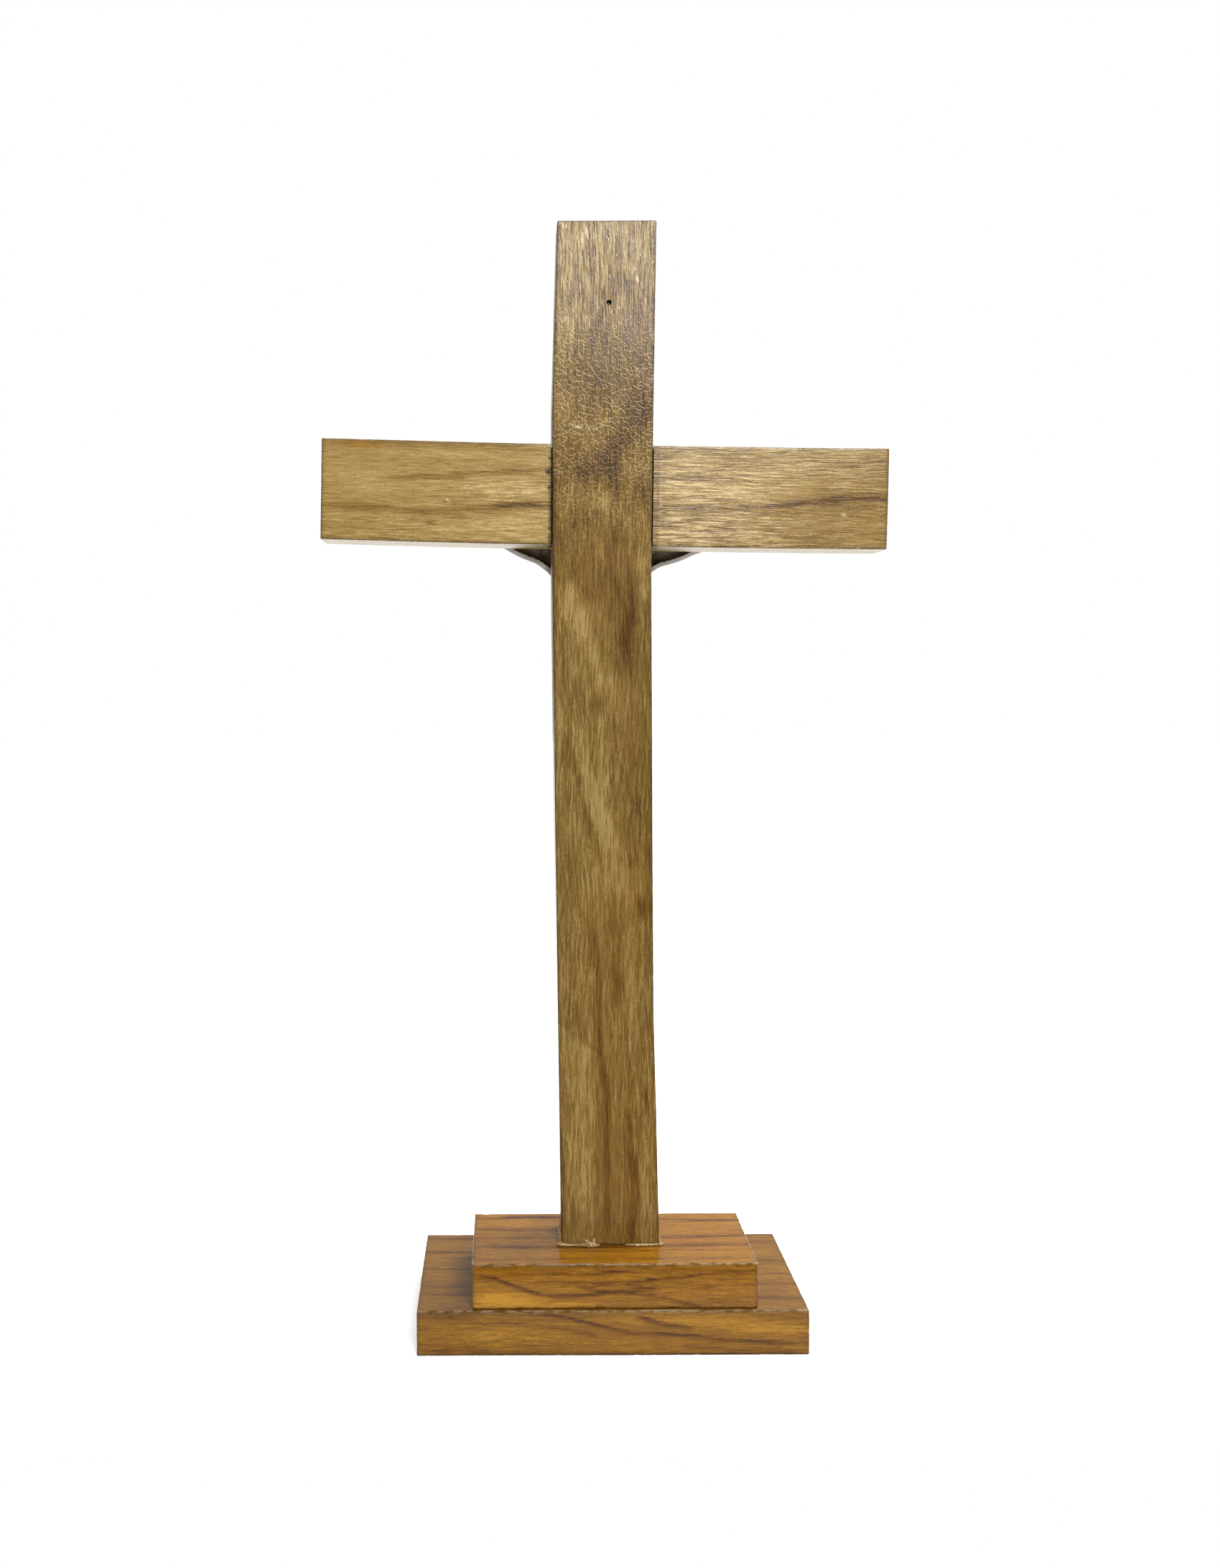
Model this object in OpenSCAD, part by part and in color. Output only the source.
// Standing crucifix for a side altar or a shelf.
// Two wooden laths are half-lapped into a cross, which stands on a stepped base of two boards.
// A hollow metal figure and a small blank scroll are nailed to the front.
// X runs along the crossbar, the front faces -Y, and the origin is on the floor, midway along the crossbar.

/* [Base] */
// Width of the lower tier
lower_w = 105.2; // [96:0.2:130]
// Depth of the lower tier, front to back
lower_d = 49.8; // [46:0.2:60]
// Width of the upper tier
upper_w = 76.7; // [60:0.1:90]
// Depth of the upper tier, front to back
upper_d = 34.4; // [30:0.2:42]
// Thickness of each tier
tier_h = 12.25; // [10:0.25:16]
// Step at the back, where the two tiers are nearly flush
rear_step = 0.9; // [0:0.1:4]
// Sideways offset of the lower tier from the middle of the crossbar
lower_x = -1; // [-2:0.1:2]
// Sideways offset of the upper tier
upper_x = -1.6; // [-2:0.1:2]

/* [Upright] */
// Height of the whole cross above the floor
total_h = 305; // [290:1:330]
// Nominal width of the upright
upright_w = 27; // [24:0.1:30]
// Thickness of both laths
lath_t = 12.4; // [10:0.2:16]
// Back face of the upright, measured from the back of the lower tier
rear_margin = 13; // [11:0.5:18]
// How much of the upright's crook is there: 0 is a straight lath
crook = 1; // [0:0.1:1.5]

/* [Crossbar] */
// Length of the crossbar
bar_l = 154.3; // [150:0.1:170]
// Height of the crossbar
bar_w = 27.4; // [24:0.1:30]
// Height of the crossbar's middle above the floor
bar_z = 231.5; // [225:0.1:240]
// Tilt of the crossbar out of level, in degrees
bar_tilt = 1.26; // [-2:0.01:2]
// Sag of the crossbar's middle below its ends
bar_sag = 0.45; // [0:0.05:1]
// Open seam on each side of the upright in the lap joint
seam = 0.25; // [0.1:0.05:0.5]

/* [Figure] */
// Height of the nail through the feet
feet_nail_z = 117; // [115:0.5:119]
// Distance of each hand's nail from the middle of the figure
hand_reach = 55.5; // [55:0.1:56]
// Wall thickness of the hollow casting
wall = 1.3; // [1:0.1:1.6]

/* [Fastenings] */
// Shank diameter of the nails
nail_d = 1.1; // [0.9:0.1:1.4]
// Head diameter of the nails
nail_head_d = 2.9; // [2.4:0.1:3.4]
// Length of the hand and feet nails under the head
nail_l = 12; // [11:0.5:13]
// Height of the titulus nail above the floor
titulus_z = 283; // [275:0.5:288]
// Width of the blank scroll
scroll_w = 21; // [18:0.5:24]
// Height of the blank scroll
scroll_h = 9; // [7:0.5:11]
// Thread diameter of the two screws in the base
screw_d = 3.5; // [3:0.1:4]
// Length of the two screws
screw_l = 45; // [40:1:50]
// Distance between the two screws
screw_gap = 14; // [11:0.5:15]
// How far the glue bead creeps out round the foot
bead_r = 1.3; // [0.8:0.1:2]

/* [Hidden] */
$fn = 48;

eps = 0.01;
base_h = 2 * tier_h;
rear_y = lower_d / 2;
back_y = rear_y - rear_margin;      // back face of both laths
front_y = back_y - lath_t;          // front face of both laths
mid_y = back_y - lath_t / 2;
lap_t = lath_t / 2;
bar_steps = 8;
foot_x = -1.3;                      // the middle of the upright's foot

// How far each edge of the upright strays from straight, as [share of its height, sideways]
plus_edge = [[0, -1.2], [0.23, -0.45], [0.41, 0.15], [0.66, 0.77], [0.82, 0.62], [1, -0.85]];
minus_edge = [[0, -1.4], [0.13, -0.6], [0.23, 0.15], [0.41, 0.45], [0.66, 0.75], [0.82, 0.15], [1, -0.7]];

titulus_x = -1.3;
scroll_t = 0.8;
shank_fit = 0.05;                   // clearance round a shank in its bore
screw_head_d = 7;
screw_head_h = 2.6;
screw_sink = 0.4;                   // how far the screw heads lie below the underside

// The figure's skeleton: X from its middle plane, Y from the laths' front face, Z from the floor
figure_x = 0.3;
figure_fn = 16;
hand_z = bar_z + 1.3;
head_c = [-2.2, -10.7, 227];
neck_c = [-0.8, -7, 218.5];
chest_c = [0, -6.5, 208];
belly_c = [0.4, -7.1, 193];
hips_c = [0.8, -6.3, 182];
knee_c = [0.6, -13, 152];
function elbow(side) = [side * 31.5, -4.1, side > 0 ? 223.4 : 220.8];   // the right arm hangs lower

// Sideways places of the upright's two edges, and of its middle, at height z
function rise(z) = (z - base_h) / (total_h - base_h);
function height(share) = base_h + share * (total_h - base_h);
function plus_x(share) = upright_w / 2 + crook * lookup(share, plus_edge);
function minus_x(share) = -upright_w / 2 + crook * lookup(share, minus_edge);
function upright_x(z) = (plus_x(rise(z)) + minus_x(rise(z))) / 2;

// ---- wood ----

module board(x, y0, z0, w, d, h) {
    translate([x - w / 2, y0, z0]) cube([w, d, h]);
}

// A lath's outline, given in X and Z, extruded towards the front
module lath(outline, depth, from_y) {
    translate([0, from_y, 0]) rotate([90, 0, 0]) linear_extrude(depth) polygon(outline);
}

// The upright's outline, grown sideways by the given amount
module upright_blank(grow, depth, from_y) {
    plus = [for (p = plus_edge) [plus_x(p[0]) + grow, height(p[0])]];
    minus = [for (i = [len(minus_edge) - 1:-1:0])
        [minus_x(minus_edge[i][0]) - grow, height(minus_edge[i][0])]];
    lath(concat(plus, minus), depth, from_y);
}

module crossbar_blank(depth, from_y) {
    shares = [for (i = [0:bar_steps]) 2 * i / bar_steps - 1];
    bottom = [for (s = shares) [s * bar_l / 2, -bar_w / 2 - bar_sag * (1 - s * s)]];
    top = [for (i = [bar_steps:-1:0]) bottom[i] + [0, bar_w]];
    translate([0, 0, bar_z]) rotate([0, -bar_tilt, 0]) lath(concat(bottom, top), depth, from_y);
}

module base_lower_tier() {
    color("peru") difference() {
        board(lower_x, -rear_y, 0, lower_w, lower_d, tier_h);
        screw_bores();
    }
}

module base_upper_tier() {
    color("burlywood") difference() {
        board(upper_x, rear_y - rear_step - upper_d, tier_h, upper_w, upper_d, tier_h);
        screw_bores();
    }
}

module upright() {
    color("saddlebrown") difference() {
        upright_blank(0, lath_t, back_y);
        crossbar_blank(lap_t + 1, mid_y);
        screw_bores();
        nail_bore([upright_x(feet_nail_z), feet_nail_z], nail_l);
        translate([titulus_x, back_y + 1, titulus_z]) rotate([90, 0, 0])
            cylinder(d = nail_d + 2 * shank_fit, h = lath_t + 2);
    }
}

module crossbar() {
    color("tan") difference() {
        crossbar_blank(lath_t, back_y);
        upright_blank(seam, lap_t + 1, back_y + 1);
        for (side = [-1, 1]) nail_bore([figure_x + side * hand_reach, hand_z], nail_l);
    }
}

// ---- fastenings ----

// A round-headed wire nail along +Y, with the underside of its head at Y = 0
module nail(length) {
    tip = 1.6;
    head_h = 0.9;
    dome = [for (turn = [0:15:90]) [nail_head_d / 2 * sin(turn), -head_h * cos(turn)]];
    rotate([-90, 0, 0]) rotate_extrude()
        polygon(concat(dome, [[nail_d / 2, 0], [nail_d / 2, length - tip], [0, length]]));
}

// A blind bore for a nail, open at the laths' front face
module nail_bore(at, length) {
    translate([at[0], front_y - eps, at[1]]) rotate([-90, 0, 0])
        cylinder(d = nail_d + 2 * shank_fit, h = length - 2);
}

module hand_nail(side) {
    color("silver") translate([figure_x + side * hand_reach, front_y - 3.6, hand_z]) nail(nail_l);
}

module hand_nail_left() {
    hand_nail(1);
}

module hand_nail_right() {
    hand_nail(-1);
}

module feet_nail() {
    color("silver") translate([upright_x(feet_nail_z), front_y - 6.2, feet_nail_z]) nail(nail_l);
}

module titulus_nail() {
    color("silver") translate([titulus_x, front_y - scroll_t - shank_fit, titulus_z])
        nail(lath_t + scroll_t - 0.7);
}

module foot_screw(side) {
    tip = 4;
    head_w = 0.8;
    head_deep = 1.2;
    translate([foot_x + side * screw_gap / 2, mid_y, screw_sink]) difference() {
        rotate_extrude() polygon([
            [0, 0], [screw_head_d / 2, 0], [screw_head_d / 2, 0.3], [screw_d / 2, screw_head_h],
            [screw_d / 2, screw_l - tip], [0, screw_l]]);
        for (turn = [0, 90]) rotate([0, 0, turn + 20]) translate([-1.7, -head_w / 2, -1])
            cube([3.4, head_w, 1 + head_deep]);
    }
}

module foot_screw_left() {
    color("darkgoldenrod") foot_screw(1);
}

module foot_screw_right() {
    color("darkgoldenrod") foot_screw(-1);
}

// Countersunk bores for both screws, from the underside up into the upright's end grain
module screw_bores() {
    for (side = [-1, 1]) translate([foot_x + side * screw_gap / 2, mid_y, 0]) {
        translate([0, 0, -1]) cylinder(d = screw_d + 2 * shank_fit, h = screw_l + 2);
        translate([0, 0, -1]) cylinder(d = screw_head_d + 2 * shank_fit, h = 1 + screw_sink + 0.3);
        translate([0, 0, screw_sink + 0.3])
            cylinder(d1 = screw_head_d + 2 * shank_fit, d2 = screw_d + 2 * shank_fit, h = screw_head_h - 0.3);
    }
}

// ---- the blank scroll over the head ----

module titulus_plate() {
    roll_r = 0.9;
    color("gainsboro") translate([titulus_x, front_y, titulus_z]) difference() {
        union() {
            translate([-scroll_w / 2, -scroll_t, -scroll_h / 2]) cube([scroll_w, scroll_t, scroll_h]);
            for (side = [-1, 1]) translate([side * scroll_w / 2, -roll_r, -scroll_h / 2 - 0.5])
                cylinder(r = roll_r, h = scroll_h + 1);
        }
        rotate([90, 0, 0]) translate([0, 0, -1]) cylinder(d = nail_d + 2 * shank_fit, h = 4);
    }
}

// ---- the figure ----

// A limb between two balls. A reach above 0 draws it straight back, which opens a cavity to the rear.
module limb(a, ra, b, rb, reach = 0) {
    hull() for (back = [0, reach]) {
        translate(a + [0, back, 0]) sphere(ra, $fn = figure_fn);
        translate(b + [0, back, 0]) sphere(rb, $fn = figure_fn);
    }
}

// A flattened mass of the trunk between two levels, each given by its middle, half width and radius
module mass(c0, half0, r0, c1, half1, r1, reach = 0) {
    hull() for (side = [-1, 1], back = [0, reach]) {
        translate(c0 + [side * (half0 - r0), back, 0]) sphere(r0, $fn = figure_fn);
        translate(c1 + [side * (half1 - r1), back, 0]) sphere(r1, $fn = figure_fn);
    }
}

// Trunk, upper arms and thighs. The casting is this shape less the same shape, thinner and drawn back.
module trunk(inset, reach) {
    mass(chest_c + [0, 0, 6.5], 13.5 - inset, 4.6 - inset, chest_c, 11 - inset, 6.2 - inset, reach);
    mass(chest_c, 11 - inset, 6.2 - inset, belly_c, 8.6 - inset, 5 - inset, reach);
    mass(belly_c, 8.6 - inset, 5 - inset, hips_c, 10 - inset, 5.6 - inset, reach);
    for (side = [-1, 1]) {
        limb([side * 12.5, -5.5, 215.4], 4 - inset, elbow(side), 3 - inset, reach);
        limb(hips_c + [side * 4.6, 0, -1], 5.4 - inset, knee_c + [side * 3.4, 0, 0], 3.9 - inset, reach);
    }
}

module head() {
    limb(head_c + [0.4, 0.8, 2.4], 5.4, head_c + [-0.4, -1.2, -2.6], 4.4);
    limb(neck_c, 3.4, head_c + [0, 1.5, -1], 3.6);
    limb(head_c + [-0.5, -2.6, -4.6], 2.9, head_c + [-0.8, -3, -7.4], 1.7);
    for (side = [-1, 1])
        limb(head_c + [side * 4.4, 1.6, 0], 2.6, head_c + [side * 6 + 0.6, 2.2, -8.5], 1.8);
    crown();
}

// The crown of thorns: a short ring of twisted stems round the head
module crown() {
    translate(head_c + [0.3, 0.6, 3.4]) rotate([14, -6, 0]) rotate_extrude($fn = 24)
        translate([5.5, 0]) circle(r = 1.2, $fn = 8);
}

module arm(side) {
    limb(elbow(side), 2.9, [side * 50, -2.3, 231], 2.0);
    hull() {
        translate([side * 50.5, -2.1, 231.2]) sphere(1.9, $fn = figure_fn);
        translate([side * 58, -1.9, 232.4]) sphere(1.7, $fn = figure_fn);
        translate([side * 57, -1.9, 235]) sphere(1.5, $fn = figure_fn);
    }
    limb([side * 58.5, -2.1, 233.8], 1.6, [side * 62.4, -3.3, 233.4], 1.1);
}

// The right foot is nailed over the left
module leg(side) {
    ankle = [side * 1.6 + 0.4, side < 0 ? -6.5 : -3.5, 127];
    limb(knee_c + [side * 3.4, 0, 0], 3.7, knee_c + [side * 3, 1.6, -9], 3.5);
    limb(knee_c + [side * 3, 1.6, -9], 3.5, ankle, 2.3);
    limb(ankle, 2.4, [0.4, side < 0 ? -4.5 : -2.1, 112], side < 0 ? 1.8 : 1.9);
}

module loincloth() {
    mass(hips_c + [0, 0, 4], 10.4, 6, hips_c + [0, -0.8, -5], 11, 6.6);
    limb(hips_c + [8.8, -2.7, 2.2], 2.4, hips_c + [9.4, -2, -13], 1.8);
    limb(hips_c + [0, -3, -6], 6, hips_c + [-1, -5, -14], 4.4);
}

module figure() {
    trunk(0, 0);
    head();
    loincloth();
    for (side = [-1, 1]) {
        arm(side);
        leg(side);
    }
}

module corpus() {
    color("lightgray") difference() {
        intersection() {
            translate([figure_x, front_y, 0]) figure();
            translate([-100, front_y - 60, 0]) cube([200, 60 - eps, total_h]);
        }
        translate([figure_x, front_y, 0]) trunk(wall, 15);
        for (side = [-1, 1]) translate([figure_x + side * hand_reach, front_y - 3.6, hand_z])
            rotate([90, 0, 0]) cylinder(d = nail_head_d + 0.4, h = 8, $fn = 16);
        for (side = [-1, 1]) translate([figure_x + side * hand_reach, front_y + 1, hand_z])
            rotate([90, 0, 0]) cylinder(d = nail_d + 0.3, h = 8, $fn = 16);
        translate([upright_x(feet_nail_z), front_y - 6.2, feet_nail_z])
            rotate([90, 0, 0]) cylinder(d = nail_head_d + 0.4, h = 8, $fn = 16);
        translate([upright_x(feet_nail_z), front_y + 1, feet_nail_z])
            rotate([90, 0, 0]) cylinder(d = nail_d + 0.3, h = 12, $fn = 16);
    }
}

// ---- glue ----

module glue_bead() {
    grow = 0.02;
    color("lightyellow") difference() {
        hull() {
            board(foot_x, front_y - bead_r, base_h, upright_w + 2 * bead_r, lath_t + 2 * bead_r, 0.3);
            board(foot_x, front_y - 0.3, base_h, upright_w + 0.6, lath_t + 0.6, bead_r);
        }
        upright_blank(grow, lath_t + 2 * grow, back_y + grow);
    }
}

base_lower_tier();
base_upper_tier();
upright();
crossbar();
corpus();
hand_nail_left();
hand_nail_right();
feet_nail();
titulus_plate();
titulus_nail();
foot_screw_left();
foot_screw_right();
glue_bead();
